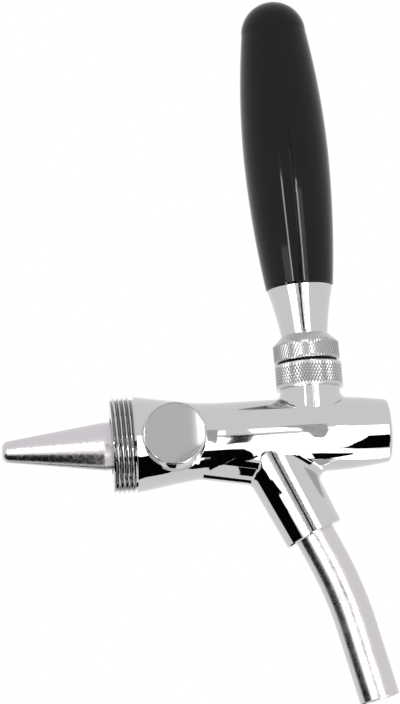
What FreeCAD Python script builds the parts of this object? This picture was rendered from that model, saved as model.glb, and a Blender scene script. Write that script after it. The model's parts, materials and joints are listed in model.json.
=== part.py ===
import FreeCAD, Part
import math
import os
import Sketcher
from FreeCAD import Placement, Rotation, Vector

# A lever tap for draught beer with a flow compensator, in millimetres.
# The origin is the centre of the threaded rear face. +X runs forward along the body,
# +Z runs up to the handle and the spout leaves the body downward and forward.
# The tap is closed, and the compensator is in the middle of its travel.

doc = FreeCAD.newDocument("BeerTap")
sheet = doc.addObject("Spreadsheet::Sheet", "Sizes")

SIZES = {
    # body along X
    "thread_radius": "14.29",
    "thread_end": "6.5",
    "relief_radius": "13.5",
    "relief_width": "0.5",
    "flank_radius": "14.4",
    "flank_end": "27",
    "barrel_radius": "11.15",
    "taper_start": "62",
    "taper_arc": "128",
    "front_radius": "9.4",
    "front_edge": "83.2",
    "front_end": "84.5",
    "front_rounding": "1.1",
    "waist_rounding": "80",
    # keel under the barrel, which sinks towards the socket
    "keel_start": "26.5",
    "keel_drop": "2.6",
    "keel_slope": "9.7",
    "keel_length": "21.3",
    "keel_radius": "8.9",
    "keel_rounding": "6",
    # outlet socket
    "socket_place": "45.1",
    "socket_tilt": "24.7",
    "socket_length": "33",
    "socket_radius": "8.95",
    "socket_root_radius": "9.9",
    "socket_chamfer": "0.4",
    "socket_rounding": "2.4",
    "socket_bore": "5",
    # neck that carries the lever
    "neck_place": "60.7",
    "neck_radius": "9.1",
    "neck_top": "13.9",
    "neck_rounding": "1.8",
    "spigot_radius": "8",
    "spigot_height": "4",
    # blind boss on the side towards -Y and gland boss towards +Y
    "boss_place": "17.1",
    "boss_radius": "9.9",
    "boss_root": "6.5",
    "boss_face": "15.2",
    "boss_face_radius": "9.4",
    "boss_forward": "1.1",
    "boss_rounding": "0.55",
    "gland_boss_radius": "8.8",
    "gland_boss_face": "15.6",
    "gland_boss_rounding": "0.6",
    # bores of the body
    "rear_bore": "8.5",
    "seat_place": "34",
    "valve_bore": "5.5",
    "front_wall": "5.5",
    "lever_slot_radius": "4.2",
    # clearances
    "running_gap": "0.05",
    "seal_gap": "0.03",
    "sliding_gap": "0.1",
    "free_gap": "0.3",
    # valve
    "valve_guide_start": "52",
    "guide_room": "3",
    "valve_neck_radius": "2.5",
    "valve_cone": "2",
    "valve_flange_radius": "4.3",
    "valve_flange_width": "1.6",
    "valve_thread_radius": "2",
    "washer_radius": "6.75",
    "washer_width": "3",
    "nut_width": "2.8",
    "nut_flats": "7",
    "valve_thread_stand": "1",
    "valve_seal_inset": "2",
    "groove_depth": "1.6",
    "groove_half": "0.95",
    "seal_section": "0.76",
    # lever: a ball joint at the height of the pivot
    "pivot_height": "15.5",
    "handle_lean": "1.62",
    "ball_radius": "6",
    "finger_radius": "2.25",
    "finger_tip_radius": "2.9",
    "stem_radius": "3",
    "stem_top": "17.5",
    "ball_seal_bottom": "-5.7",
    "ball_seal_height": "2.2",
    "ball_washer_height": "2",
    "collar_radius": "10.1",
    "collar_top": "6.05",
    "collar_slope": "0.2",
    "collar_chamfer": "0.15",
    "collar_opening": "4.6",
    # handle
    "ring_bottom": "6.65",
    "ring_radius": "9.95",
    "ring_top": "12",
    "ring_chamfer": "0.15",
    "shoulder_radius": "7",
    "shoulder_top": "14.8",
    "ferrule_top": "29.2",
    "ferrule_top_radius": "9.85",
    "ferrule_arc": "100",
    "dust_radius": "9",
    "dust_height": "1",
    "stud_radius": "4",
    "stud_bottom": "18.5",
    "stud_top": "45",
    "insert_radius": "6.5",
    "insert_height": "19",
    "insert_flange_radius": "7.6",
    "insert_flange": "1.2",
    "grip_foot_radius": "10.25",
    "grip_foot_chamfer": "0.7",
    "grip_foot_rise": "0.7",
    "grip_widest": "70.2",
    "grip_radius": "13",
    "grip_low_arc": "330",
    "grip_shoulder_radius": "9.95",
    "grip_dome_height": "10.1",
    "grip_high_arc": "258",
    "grip_top": "119.5",
    # compensator
    "cone_tip": "-32.6",
    "cone_tip_radius": "1.6",
    "cone_tip_arc": "2.2",
    "cone_nose": "-31.2",
    "cone_nose_radius": "3.15",
    "cone_root": "-2.5",
    "cone_root_radius": "7.15",
    "cone_core": "3",
    "core_radius": "4.4",
    "fin_end": "9.5",
    "fin_width": "2.6",
    "tongue_end": "21",
    "tongue_half_width": "3",
    "tongue_half_height": "6.5",
    "slot_gap": "0.15",
    "slot_top": "1",
    "slot_bottom": "-4.4",
    "pin_throw": "2.2",
    "pin_radius": "1.75",
    "pin_root": "0.8",
    # compensator spindle across the body
    "spindle_radius": "4",
    "gland_chamber": "6",
    "gland_chamber_floor": "11.4",
    "spindle_seal_section": "0.95",
    "spindle_flange_radius": "5.8",
    "spindle_flange_width": "1.1",
    "gland_nut_height": "3.2",
    "gland_nut_flats": "13.4",
    "spindle_end_radius": "3",
    "hub_radius": "6.2",
    "hub_width": "6",
    "hub_half": "3",
    "arm_radius": "2.3",
    "arm_end_radius": "1.7",
    "arm_length": "24",
    "knob_radius": "3.4",
    "screw_radius": "1.5",
    "screw_depth": "8",
    "screw_head_radius": "3.2",
    "screw_head_height": "2",
    "screw_slot_depth": "0.8",
    # spout
    "spout_radius": "6",
    "spout_wall": "1",
    "spout_entry": "12",
    "spout_free": "7.8",
    "spout_arc": "115",
    "spout_turn": "11.3",
    "spout_end": "22.2",
    "spout_chamfer": "0.3",
    "spout_seal_place": "6",
}

for row, (name, text) in enumerate(SIZES.items(), start=1):
    sheet.set("A%d" % row, name)
    sheet.set("B%d" % row, text)
    sheet.setAlias("B%d" % row, name)
doc.recompute()

parts = []


def number(text):
    """The value of a sum such as 'neck_top + spigot_height'."""
    total = 0.0
    sign = 1
    for word in text.split():
        if word in "+-":
            sign = 1 if word == "+" else -1
        elif word != "zero":
            total += sign * float(getattr(sheet, word))
    return total


def formula(text):
    """The same sum, as an expression that reads the sheet."""
    words = [word if word in "+-" else "Sizes." + word for word in text.split()]
    return " ".join(words).replace("Sizes.zero", "0")


def bind(thing, prop, text):
    thing.setExpression(prop, formula(text))


def listed(thing, label):
    thing.Label = label
    parts.append(thing)
    return thing


def new_body(label):
    return listed(doc.addObject("PartDesign::Body", label), label)


def plane_of(body, role):
    return [item for item in body.Origin.OriginFeatures if item.Role == role][0]


def sketch_on(body, name, role, shift=None, turn=0.0):
    """A sketch on one of the body's own planes, moved along x, y or z of that plane."""
    sketch = body.newObject("Sketcher::SketchObject", name)
    sketch.AttachmentSupport = [(plane_of(body, role), "")]
    sketch.MapMode = "FlatFace"
    sketch.AttachmentOffset = Placement(Vector(), Rotation(Vector(0, 0, 1), turn))
    for axis, text in (shift or {}).items():
        bind(sketch, "AttachmentOffset.Base." + axis, text)
    return sketch


def fix_point(sketch, index, end, across, up):
    """Tie one end of a sketch element to its place from the sketch's origin."""
    for kind, text, axis in (("DistanceX", across, -2), ("DistanceY", up, -1)):
        if text == "zero":
            sketch.addConstraint(Sketcher.Constraint("PointOnObject", index, end, axis))
        else:
            place = sketch.addConstraint(
                Sketcher.Constraint(kind, -1, 1, index, end, number(text)))
            sketch.setExpression("Constraints[%d]" % place, formula(text))


def arc_between(start, end, radius, side):
    """The short arc from start to end, bulging to the left (1) or right (-1) of the way."""
    chord = end - start
    half = chord.Length / 2
    left = Vector(-chord.y, chord.x, 0).normalize()
    middle = start + chord * 0.5 - left * (side * math.sqrt(radius ** 2 - half ** 2))
    first, last = (end, start) if side > 0 else (start, end)
    low = math.atan2(first.y - middle.y, first.x - middle.x)
    high = math.atan2(last.y - middle.y, last.x - middle.x)
    if high < low:
        high += 2 * math.pi
    return Part.ArcOfCircle(Part.Circle(middle, Vector(0, 0, 1), radius), low, high)


def dome_radius(edge, top):
    """The radius of a dome from its edge to its top on the axis, with its centre there too."""
    rise = abs(top.x - edge.x) if top.y == 0 else abs(top.y - edge.y)
    return (edge - top).Length ** 2 / (2 * rise)


def outline(sketch, corners):
    """A closed outline. A corner is (across, up), and the run that leaves it is straight,
    or with (across, up, radius, side) an arc. A "domed" arc ends on the axis of the turning
    and has its centre on it."""
    spots = [Vector(number(c[0]), number(c[1]), 0) for c in corners]
    ends = []
    for i, corner in enumerate(corners):
        start = spots[i]
        end = spots[(i + 1) % len(corners)]
        if len(corner) == 2:
            sketch.addGeometry(Part.LineSegment(start, end), False)
            ends.append((1, 2))
        else:
            side = corner[3]
            radius = dome_radius(start, end) if corner[2] == "domed" else number(corner[2])
            sketch.addGeometry(arc_between(start, end, radius, side), False)
            ends.append((2, 1) if side > 0 else (1, 2))
    for i, corner in enumerate(corners):
        after = (i + 1) % len(corners)
        sketch.addConstraint(
            Sketcher.Constraint("Coincident", i, ends[i][1], after, ends[after][0]))
        fix_point(sketch, i, ends[i][0], corner[0], corner[1])
        if len(corner) == 4 and corner[2] == "domed":
            axis = -1 if corners[after][1] == "zero" else -2
            sketch.addConstraint(Sketcher.Constraint("PointOnObject", i, 3, axis))
        elif len(corner) == 4:
            place = sketch.addConstraint(Sketcher.Constraint("Radius", i, number(corner[2])))
            sketch.setExpression("Constraints[%d]" % place, formula(corner[2]))
    return sketch


def circle(sketch, radius, across="zero", up="zero"):
    index = sketch.addGeometry(
        Part.Circle(Vector(number(across), number(up), 0), Vector(0, 0, 1), number(radius)))
    fix_point(sketch, index, 3, across, up)
    place = sketch.addConstraint(Sketcher.Constraint("Radius", index, number(radius)))
    sketch.setExpression("Constraints[%d]" % place, formula(radius))
    return sketch


def turned(body, name, sketch, axis, cut=False):
    """A full turn of a sketch about its own H_Axis or V_Axis, added or cut away."""
    doc.recompute()
    before = body.Shape.Volume if cut else 0.0
    kind = "PartDesign::Groove" if cut else "PartDesign::Revolution"
    feature = body.newObject(kind, name)
    feature.Profile = sketch
    feature.ReferenceAxis = (sketch, [axis])
    feature.Angle = 360
    sketch.Visibility = False
    doc.recompute()
    if cut and body.Shape.Volume >= before:
        raise RuntimeError(name + " cuts nothing")
    return feature


def extruded(body, name, sketch, length, cut=False, midplane=False, reverse=False):
    """A pad or a pocket of a sketch."""
    doc.recompute()
    before = body.Shape.Volume if cut else 0.0
    feature = body.newObject("PartDesign::Pocket" if cut else "PartDesign::Pad", name)
    feature.Profile = sketch
    feature.Midplane = midplane
    feature.Reversed = reverse
    bind(feature, "Length", length)
    doc.recompute()
    if cut and body.Shape.Volume >= before:
        raise RuntimeError(name + " cuts nothing")
    return feature


def lofted(body, name, sketches):
    feature = body.newObject("PartDesign::AdditiveLoft", name)
    feature.Profile = sketches[0]
    feature.Sections = sketches[1:]
    feature.Ruled = True
    doc.recompute()
    return feature


def rounded(body, name, wanted, radius, kind="PartDesign::Fillet"):
    """A fillet or chamfer on the edges of the body that wanted() picks."""
    base = body.Tip
    names = ["Edge%d" % (i + 1) for i, edge in enumerate(base.Shape.Edges)
             if not edge.Degenerated and wanted(edge)]
    if not names:
        raise RuntimeError(name + " finds no edge")
    feature = body.newObject(kind, name)
    feature.Base = (base, names)
    bind(feature, "Radius" if kind.endswith("Fillet") else "Size", radius)
    doc.recompute()
    return feature


def is_ring(edge, radius, centre):
    """Whether an edge is a circle of this radius round this centre."""
    curve = edge.Curve
    return (isinstance(curve, Part.Circle) and abs(curve.Radius - radius) < NEAR
            and (curve.Center - centre).Length < NEAR)


def simple_turned(label, corners, axis="V_Axis"):
    body = new_body(label)
    sketch = outline(sketch_on(body, label + "_outline", "XZ_Plane"), corners)
    turned(body, label + "_turned", sketch, axis)
    return body


def on_pivot(thing):
    """Put a piece of the handle on the pivot, leaning back with the handle."""
    lean = number("handle_lean")
    thing.Placement = Placement(Vector(), Rotation(Vector(0, 1, 0), -lean))
    thing.setExpression("Placement.Rotation.Angle", "-Sizes.handle_lean * 1 deg")
    bind(thing, "Placement.Base.x", "neck_place")
    bind(thing, "Placement.Base.z", "pivot_height")


def upright_on_pivot(thing):
    """Put a fixed piece of the lever's mounting round the pivot, square to the body."""
    bind(thing, "Placement.Base.x", "neck_place")
    bind(thing, "Placement.Base.z", "pivot_height")


def ring(label, middle_radius, section, turn, place):
    """An O-ring as a torus, its axis turned from Z by turn, at place."""
    torus = listed(doc.addObject("Part::Torus", label), label)
    torus.Placement = Placement(Vector(), turn)
    bind(torus, "Radius1", middle_radius)
    bind(torus, "Radius2", section)
    for axis, text in place.items():
        bind(torus, "Placement.Base." + axis, text)
    return torus


NEAR = 0.05  # how closely an edge has to fit the circle or surface that picks it
ALONG_X = Rotation(Vector(0, 1, 0), 90)
ALONG_Y = Rotation(Vector(1, 0, 0), -90)
tilt = number("socket_tilt")
OUTLET = Vector(math.sin(math.radians(tilt)), 0, -math.cos(math.radians(tilt)))
socket_middle = Vector(number("socket_place"), 0, 0)

# The body starts as a turning: thread land, relief, tapered flank, barrel and domed front.
tap = new_body("tap_body")
turning = outline(sketch_on(tap, "body_outline", "XZ_Plane"), [
    ("zero", "zero"),
    ("zero", "thread_radius"),
    ("thread_end", "thread_radius"),
    ("thread_end", "relief_radius"),
    ("thread_end + relief_width", "relief_radius"),
    ("thread_end + relief_width", "flank_radius"),
    ("flank_end", "barrel_radius"),
    ("taper_start", "barrel_radius", "taper_arc", 1),
    ("front_edge", "front_radius", "domed", 1),
    ("front_end", "zero"),
])
turned(tap, "body_turned", turning, "H_Axis")
rounded(tap, "waist_blend",
        lambda e: is_ring(e, number("barrel_radius"), Vector(number("flank_end"), 0, 0)),
        "waist_rounding")
rounded(tap, "front_edge_round",
        lambda e: is_ring(e, number("front_radius"), Vector(number("front_edge"), 0, 0)),
        "front_rounding")

# The keel is a round bar that leans forward and down out of the barrel and ends inside
# the socket.
keel = outline(sketch_on(tap, "keel_outline", "XZ_Plane",
                         {"x": "keel_start", "y": "zero - keel_drop"}, -number("keel_slope")), [
    ("zero", "zero"),
    ("zero", "keel_radius"),
    ("keel_length", "keel_radius"),
    ("keel_length", "zero"),
])
turned(tap, "keel_turned", keel, "H_Axis")


def lies_on(edge, start, way, radius_at):
    """Whether an edge that is no circle or line keeps to a round surface about an axis.
    radius_at gives the surface's radius at a depth along the axis."""
    if isinstance(edge.Curve, (Part.Circle, Part.Line)):
        return False
    for share in (0.1, 0.5, 0.9):
        spot = edge.valueAt(
            edge.FirstParameter + share * (edge.LastParameter - edge.FirstParameter))
        depth = (spot - start).dot(way)
        away = (spot - start - way * depth).Length
        if abs(away - radius_at(depth)) > NEAR:
            return False
    return True


keel_angle = math.radians(number("keel_slope"))
keel_way = Vector(math.cos(keel_angle), 0, -math.sin(keel_angle))
keel_start = Vector(number("keel_start"), 0, -number("keel_drop"))
rounded(tap, "keel_blend",
        lambda e: lies_on(e, keel_start, keel_way, lambda depth: number("keel_radius")),
        "keel_rounding")

# The outlet socket is a slightly tapered spigot, blended into the barrel and the keel.
socket = outline(sketch_on(tap, "socket_outline", "XZ_Plane", {"x": "socket_place"}, tilt), [
    ("zero", "zero"),
    ("socket_root_radius", "zero"),
    ("socket_radius", "zero - socket_length + socket_chamfer"),
    ("socket_radius - socket_chamfer", "zero - socket_length"),
    ("zero", "zero - socket_length"),
])
turned(tap, "socket_turned", socket, "V_Axis")


def socket_radius_at(depth):
    """The radius of the tapered socket at a depth along its axis."""
    fall = number("socket_root_radius") - number("socket_radius")
    return number("socket_root_radius") - fall * depth / number("socket_length")


rounded(tap, "socket_blend",
        lambda e: lies_on(e, socket_middle, OUTLET, socket_radius_at), "socket_rounding")

# The neck, with the threaded spigot for the collar nut.
neck = outline(sketch_on(tap, "neck_outline", "XZ_Plane", {"x": "neck_place"}), [
    ("zero", "zero"),
    ("neck_radius", "zero"),
    ("neck_radius", "neck_top"),
    ("spigot_radius", "neck_top"),
    ("spigot_radius", "neck_top + spigot_height"),
    ("zero", "neck_top + spigot_height"),
])
turned(tap, "neck_turned", neck, "V_Axis")
neck_middle = Vector(number("neck_place"), 0, 0)
rounded(tap, "neck_blend",
        lambda e: lies_on(e, neck_middle, Vector(0, 0, 1), lambda depth: number("neck_radius")),
        "neck_rounding")

# The blind boss stands a little forward of the gland boss and narrows to a flat face.
boss_root = circle(sketch_on(tap, "boss_root_ring", "XZ_Plane", {"z": "boss_root"}),
                   "boss_radius", "boss_place + boss_forward")
boss_face = circle(sketch_on(tap, "boss_face_ring", "XZ_Plane", {"z": "boss_face"}),
                   "boss_face_radius", "boss_place + boss_forward")
lofted(tap, "boss", [boss_root, boss_face])
boss_face_middle = Vector(number("boss_place + boss_forward"), -number("boss_face"), 0)
rounded(tap, "boss_edge", lambda e: is_ring(e, number("boss_face_radius"), boss_face_middle),
        "boss_rounding")
gland_ring = circle(sketch_on(tap, "gland_boss_ring", "XZ_Plane"), "gland_boss_radius", "boss_place")
extruded(tap, "gland_boss", gland_ring, "gland_boss_face", reverse=True)
gland_face_middle = Vector(number("boss_place"), number("gland_boss_face"), 0)
rounded(tap, "gland_boss_edge",
        lambda e: is_ring(e, number("gland_boss_radius"), gland_face_middle),
        "gland_boss_rounding")

# Bores: the rear bore and valve bore with the seat between them, the outlet with the
# spout's counterbore, the lever's bore and the gland.
VALVE_BORE_END = "front_end - front_wall"
main_bore = outline(sketch_on(tap, "main_bore_outline", "XZ_Plane"), [
    ("zero", "zero"),
    ("zero", "rear_bore"),
    ("seat_place", "rear_bore"),
    ("seat_place", "valve_bore"),
    (VALVE_BORE_END, "valve_bore"),
    (VALVE_BORE_END, "zero"),
])
turned(tap, "main_bore", main_bore, "H_Axis", cut=True)
ENTRY = "zero - socket_length + spout_entry"
outlet_bore = outline(
    sketch_on(tap, "outlet_bore_outline", "XZ_Plane", {"x": "socket_place"}, tilt), [
        ("zero", "zero"),
        ("socket_bore", "zero"),
        ("socket_bore", ENTRY),
        ("spout_radius + running_gap", ENTRY),
        ("spout_radius + running_gap", ENTRY + " - spout_seal_place + seal_section"),
        ("spout_radius + seal_section + seal_section",
         ENTRY + " - spout_seal_place + seal_section"),
        ("spout_radius + seal_section + seal_section",
         ENTRY + " - spout_seal_place - seal_section"),
        ("spout_radius + running_gap", ENTRY + " - spout_seal_place - seal_section"),
        ("spout_radius + running_gap", "zero - socket_length"),
        ("zero", "zero - socket_length"),
    ])
turned(tap, "outlet_bore", outlet_bore, "V_Axis", cut=True)
SEAT = "pivot_height + ball_seal_bottom"
lever_bore = outline(sketch_on(tap, "lever_bore_outline", "XZ_Plane", {"x": "neck_place"}), [
    ("zero", "zero"),
    ("lever_slot_radius", "zero"),
    ("lever_slot_radius", SEAT),
    ("ball_radius + running_gap", SEAT),
    ("ball_radius + running_gap", "neck_top + spigot_height"),
    ("zero", "neck_top + spigot_height"),
])
turned(tap, "lever_bore", lever_bore, "V_Axis", cut=True)
gland_bore = outline(sketch_on(tap, "gland_bore_outline", "YZ_Plane", {"z": "boss_place"}), [
    ("zero", "zero"),
    ("zero", "spindle_radius + running_gap"),
    ("gland_chamber_floor", "spindle_radius + running_gap"),
    ("gland_chamber_floor", "gland_chamber"),
    ("gland_boss_face", "gland_chamber"),
    ("gland_boss_face", "zero"),
])
turned(tap, "gland_bore", gland_bore, "H_Axis", cut=True)

# The valve: a shaft turned with a guide, a thin neck in the flow and a flange that holds
# the washer. The finger of the lever reaches into its cross hole.
valve = new_body("valve_shaft")
WASHER_FACE = "seat_place - running_gap"
NUT_BACK = WASHER_FACE + " - washer_width - nut_width"
GUIDE_END = VALVE_BORE_END + " - guide_room"
FRONT_GROOVE = GUIDE_END + " - valve_seal_inset"
REAR_GROOVE = "valve_guide_start + valve_seal_inset"
shaft = outline(sketch_on(valve, "shaft_outline", "XZ_Plane"), [
    (NUT_BACK + " - valve_thread_stand", "zero"),
    (NUT_BACK + " - valve_thread_stand", "valve_thread_radius"),
    (WASHER_FACE, "valve_thread_radius"),
    (WASHER_FACE, "valve_flange_radius"),
    (WASHER_FACE + " + valve_flange_width", "valve_flange_radius"),
    (WASHER_FACE + " + valve_flange_width", "valve_neck_radius"),
    ("valve_guide_start - valve_cone", "valve_neck_radius"),
    ("valve_guide_start", "valve_bore - sliding_gap"),
    (REAR_GROOVE, "valve_bore - sliding_gap"),
    (REAR_GROOVE, "valve_bore - groove_depth"),
    (REAR_GROOVE + " + groove_half + groove_half", "valve_bore - groove_depth"),
    (REAR_GROOVE + " + groove_half + groove_half", "valve_bore - sliding_gap"),
    (FRONT_GROOVE + " - groove_half - groove_half", "valve_bore - sliding_gap"),
    (FRONT_GROOVE + " - groove_half - groove_half", "valve_bore - groove_depth"),
    (FRONT_GROOVE, "valve_bore - groove_depth"),
    (FRONT_GROOVE, "valve_bore - sliding_gap"),
    (GUIDE_END, "valve_bore - sliding_gap"),
    (GUIDE_END, "zero"),
])
turned(valve, "shaft_turned", shaft, "H_Axis")
cross_hole = circle(sketch_on(valve, "cross_hole_ring", "XY_Plane"),
                    "finger_tip_radius + sliding_gap")
cross_hole.setExpression(
    "AttachmentOffset.Base.x",
    "Sizes.neck_place + Sizes.pivot_height * sin(Sizes.handle_lean * 1 deg)")
extruded(valve, "cross_hole", cross_hole, "valve_bore + valve_bore", cut=True, midplane=True)

simple_turned("valve_washer", [
    (WASHER_FACE + " - washer_width", "valve_thread_radius"),
    (WASHER_FACE, "valve_thread_radius"),
    (WASHER_FACE, "washer_radius"),
    (WASHER_FACE + " - washer_width", "washer_radius"),
], "H_Axis")


def hexagon_nut(label, flats, height, bore, turn, place):
    """A plain nut from two primitives: a six-sided prism less its bore."""
    prism = doc.addObject("Part::Prism", label + "_prism")
    prism.Polygon = 6
    prism.setExpression("Circumradius", "Sizes.%s / 2 / cos(30 deg)" % flats)
    bind(prism, "Height", height)
    hole = doc.addObject("Part::Cylinder", label + "_hole")
    bind(hole, "Radius", bore)
    bind(hole, "Height", height)
    nut = listed(doc.addObject("Part::Cut", label), label)
    nut.Base = prism
    nut.Tool = hole
    nut.Placement = Placement(Vector(), turn)
    for axis, text in place.items():
        bind(nut, "Placement.Base." + axis, text)
    return nut


hexagon_nut("valve_nut", "nut_flats", "nut_width", "valve_thread_radius", ALONG_X, {"x": NUT_BACK})

for label, middle in (("valve_seal_rear", REAR_GROOVE + " + groove_half"),
                      ("valve_seal_front", FRONT_GROOVE + " - groove_half")):
    ring(label, "valve_bore - seal_gap - seal_section", "seal_section", ALONG_X, {"x": middle})

# The spout: a tube bent once, entering the socket. Its own Z runs up the socket's axis.
spout = new_body("spout_tube")
tube_rings = sketch_on(spout, "tube_rings", "XY_Plane")
circle(tube_rings, "spout_radius")
circle(tube_rings, "spout_radius - spout_wall")
route = sketch_on(spout, "tube_route", "XZ_Plane")
turn_angle = math.radians(number("spout_turn"))
arc_radius = number("spout_arc")
first_run = number("spout_entry + spout_free")
bend_middle = Vector(-arc_radius, -first_run, 0)
bend_end = bend_middle + Vector(math.cos(turn_angle), -math.sin(turn_angle), 0) * arc_radius
last_way = Vector(-math.sin(turn_angle), -math.cos(turn_angle), 0)
last_spot = bend_end + last_way * number("spout_end")
route.addGeometry(Part.LineSegment(Vector(), Vector(0, -first_run, 0)), False)
bend = Part.Circle(bend_middle, Vector(0, 0, 1), arc_radius)
route.addGeometry(Part.ArcOfCircle(bend, -turn_angle, 0), False)
route.addGeometry(Part.LineSegment(bend_end, last_spot), False)
route.addConstraint(Sketcher.Constraint("Coincident", 0, 1, -1, 1))
route.addConstraint(Sketcher.Constraint("Vertical", 0))
route.addConstraint(Sketcher.Constraint("Tangent", 0, 2, 1, 2))
route.addConstraint(Sketcher.Constraint("Tangent", 1, 1, 2, 1))
for kind, target, text in (("DistanceY", (0, 2, 0, 1), "spout_entry + spout_free"),
                           ("Radius", (1,), "spout_arc"),
                           ("Distance", (2,), "spout_end")):
    spot = route.addConstraint(Sketcher.Constraint(kind, *target, number(text)))
    route.setExpression("Constraints[%d]" % spot, formula(text))
spot = route.addConstraint(Sketcher.Constraint("Angle", 1, turn_angle))
route.setExpression("Constraints[%d]" % spot, "Sizes.spout_turn * 1 deg")
doc.recompute()
tube = spout.newObject("PartDesign::AdditivePipe", "tube")
tube.Profile = tube_rings
tube.Spine = route
doc.recompute()
mouth = Vector(last_spot.x, 0, last_spot.y)
rounded(spout, "mouth_edge",
        lambda e: is_ring(e, number("spout_radius"), mouth), "spout_chamfer",
        "PartDesign::Chamfer")
spout.Placement = Placement(Vector(), Rotation(Vector(0, 1, 0), -tilt))
spout.setExpression("Placement.Rotation.Angle", "-Sizes.socket_tilt * 1 deg")
spout.setExpression(
    "Placement.Base.x",
    "Sizes.socket_place + (Sizes.socket_length - Sizes.spout_entry) * sin(Sizes.socket_tilt * 1 deg)")
spout.setExpression(
    "Placement.Base.z",
    "-(Sizes.socket_length - Sizes.spout_entry) * cos(Sizes.socket_tilt * 1 deg)")
spout_seal = ring("spout_seal", "spout_radius + seal_section", "seal_section - seal_gap",
                  Rotation(Vector(0, 1, 0), -tilt), {})
spout_seal.setExpression(
    "Placement.Base.x",
    "Sizes.socket_place + (Sizes.socket_length - Sizes.spout_entry + Sizes.spout_seal_place)"
    " * sin(Sizes.socket_tilt * 1 deg)")
spout_seal.setExpression(
    "Placement.Base.z",
    "-(Sizes.socket_length - Sizes.spout_entry + Sizes.spout_seal_place)"
    " * cos(Sizes.socket_tilt * 1 deg)")

# The lever turns on its ball, between the seal below it and the washer under the collar.
lever_pieces = []
for name, height, radius in (("lever_ball", "zero", "ball_radius"),
                             ("lever_tip", "zero - pivot_height", "finger_tip_radius")):
    piece = doc.addObject("Part::Sphere", name)
    bind(piece, "Radius", radius)
    bind(piece, "Placement.Base.z", height)
    lever_pieces.append(piece)
for name, low, height, radius in (
        ("lever_finger", "zero - pivot_height", "pivot_height", "finger_radius"),
        ("lever_stem", "zero", "stem_top", "stem_radius")):
    piece = doc.addObject("Part::Cylinder", name)
    bind(piece, "Radius", radius)
    bind(piece, "Height", height)
    bind(piece, "Placement.Base.z", low)
    lever_pieces.append(piece)
lever = listed(doc.addObject("Part::MultiFuse", "ball_lever"), "ball_lever")
lever.Shapes = lever_pieces
on_pivot(lever)


def ball_ring(label, low, height, outer):
    """A seal or washer: a plain ring less the ball with its running gap."""
    blank = doc.addObject("Part::Cylinder", label + "_blank")
    bind(blank, "Radius", outer)
    bind(blank, "Height", height)
    bind(blank, "Placement.Base.z", low)
    hollow = doc.addObject("Part::Sphere", label + "_hollow")
    bind(hollow, "Radius", "ball_radius + running_gap")
    bore = doc.addObject("Part::Cylinder", label + "_bore")
    bind(bore, "Radius", "collar_opening")
    bind(bore, "Height", "ball_radius + ball_radius")
    bind(bore, "Placement.Base.z", "zero - ball_radius")
    less_ball = doc.addObject("Part::Cut", label + "_less_ball")
    less_ball.Base = blank
    less_ball.Tool = hollow
    piece = listed(doc.addObject("Part::Cut", label), label)
    piece.Base = less_ball
    piece.Tool = bore
    upright_on_pivot(piece)
    return piece


ball_ring("ball_seal", "ball_seal_bottom", "ball_seal_height", "ball_radius")
SPIGOT_TOP = "neck_top + spigot_height - pivot_height"
ball_ring("ball_washer", SPIGOT_TOP, "ball_washer_height",
          "spigot_radius - sliding_gap")

# The collar nut screws onto the spigot and traps the washer. Its top falls away outwards,
# so that the handle can tip forward.
WASHER_TOP = SPIGOT_TOP + " + ball_washer_height"
collar = simple_turned("collar_nut", [
    ("spigot_radius", "neck_top - pivot_height"),
    ("collar_radius - collar_chamfer", "neck_top - pivot_height"),
    ("collar_radius", "neck_top - pivot_height + collar_chamfer"),
    ("collar_radius", "collar_top - collar_slope - collar_chamfer"),
    ("collar_radius - collar_chamfer", "collar_top - collar_slope"),
    ("collar_opening", "collar_top"),
    ("collar_opening", WASHER_TOP),
    ("spigot_radius", WASHER_TOP),
])
upright_on_pivot(collar)

# The handle: a chromed ferrule on the lever's stem, a dust washer under it, and the grip
# with its brass insert on a stud.
DUST_TOP = "ring_bottom + dust_height"
ferrule = simple_turned("ferrule", [
    ("stem_radius", DUST_TOP),
    ("dust_radius", DUST_TOP),
    ("dust_radius", "ring_bottom + ring_chamfer"),
    ("ring_radius - ring_chamfer", "ring_bottom + ring_chamfer"),
    ("ring_radius", "ring_bottom + ring_chamfer + ring_chamfer"),
    ("ring_radius", "ring_top - ring_chamfer"),
    ("ring_radius - ring_chamfer", "ring_top"),
    ("shoulder_radius", "shoulder_top", "ferrule_arc", 1),
    ("ferrule_top_radius", "ferrule_top"),
    ("stud_radius", "ferrule_top"),
    ("stud_radius", "stud_bottom"),
    ("zero", "stud_bottom"),
    ("zero", "stem_top"),
    ("stem_radius", "stem_top"),
])
on_pivot(ferrule)
dust = simple_turned("dust_washer", [
    ("stem_radius", "ring_bottom"),
    ("dust_radius", "ring_bottom + ring_chamfer"),
    ("dust_radius", DUST_TOP),
    ("stem_radius", DUST_TOP),
])
on_pivot(dust)
stud = simple_turned("grip_stud", [
    ("zero", "stud_bottom"),
    ("stud_radius", "stud_bottom"),
    ("stud_radius", "stud_top"),
    ("zero", "stud_top"),
])
on_pivot(stud)
INSERT_BOTTOM = "ferrule_top"
INSERT_TOP = "ferrule_top + insert_height"
insert = simple_turned("grip_insert", [
    ("stud_radius", INSERT_BOTTOM),
    ("insert_flange_radius", INSERT_BOTTOM),
    ("insert_flange_radius", "ferrule_top + insert_flange"),
    ("insert_radius", "ferrule_top + insert_flange"),
    ("insert_radius", INSERT_TOP),
    ("stud_radius", INSERT_TOP),
])
on_pivot(insert)
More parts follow.
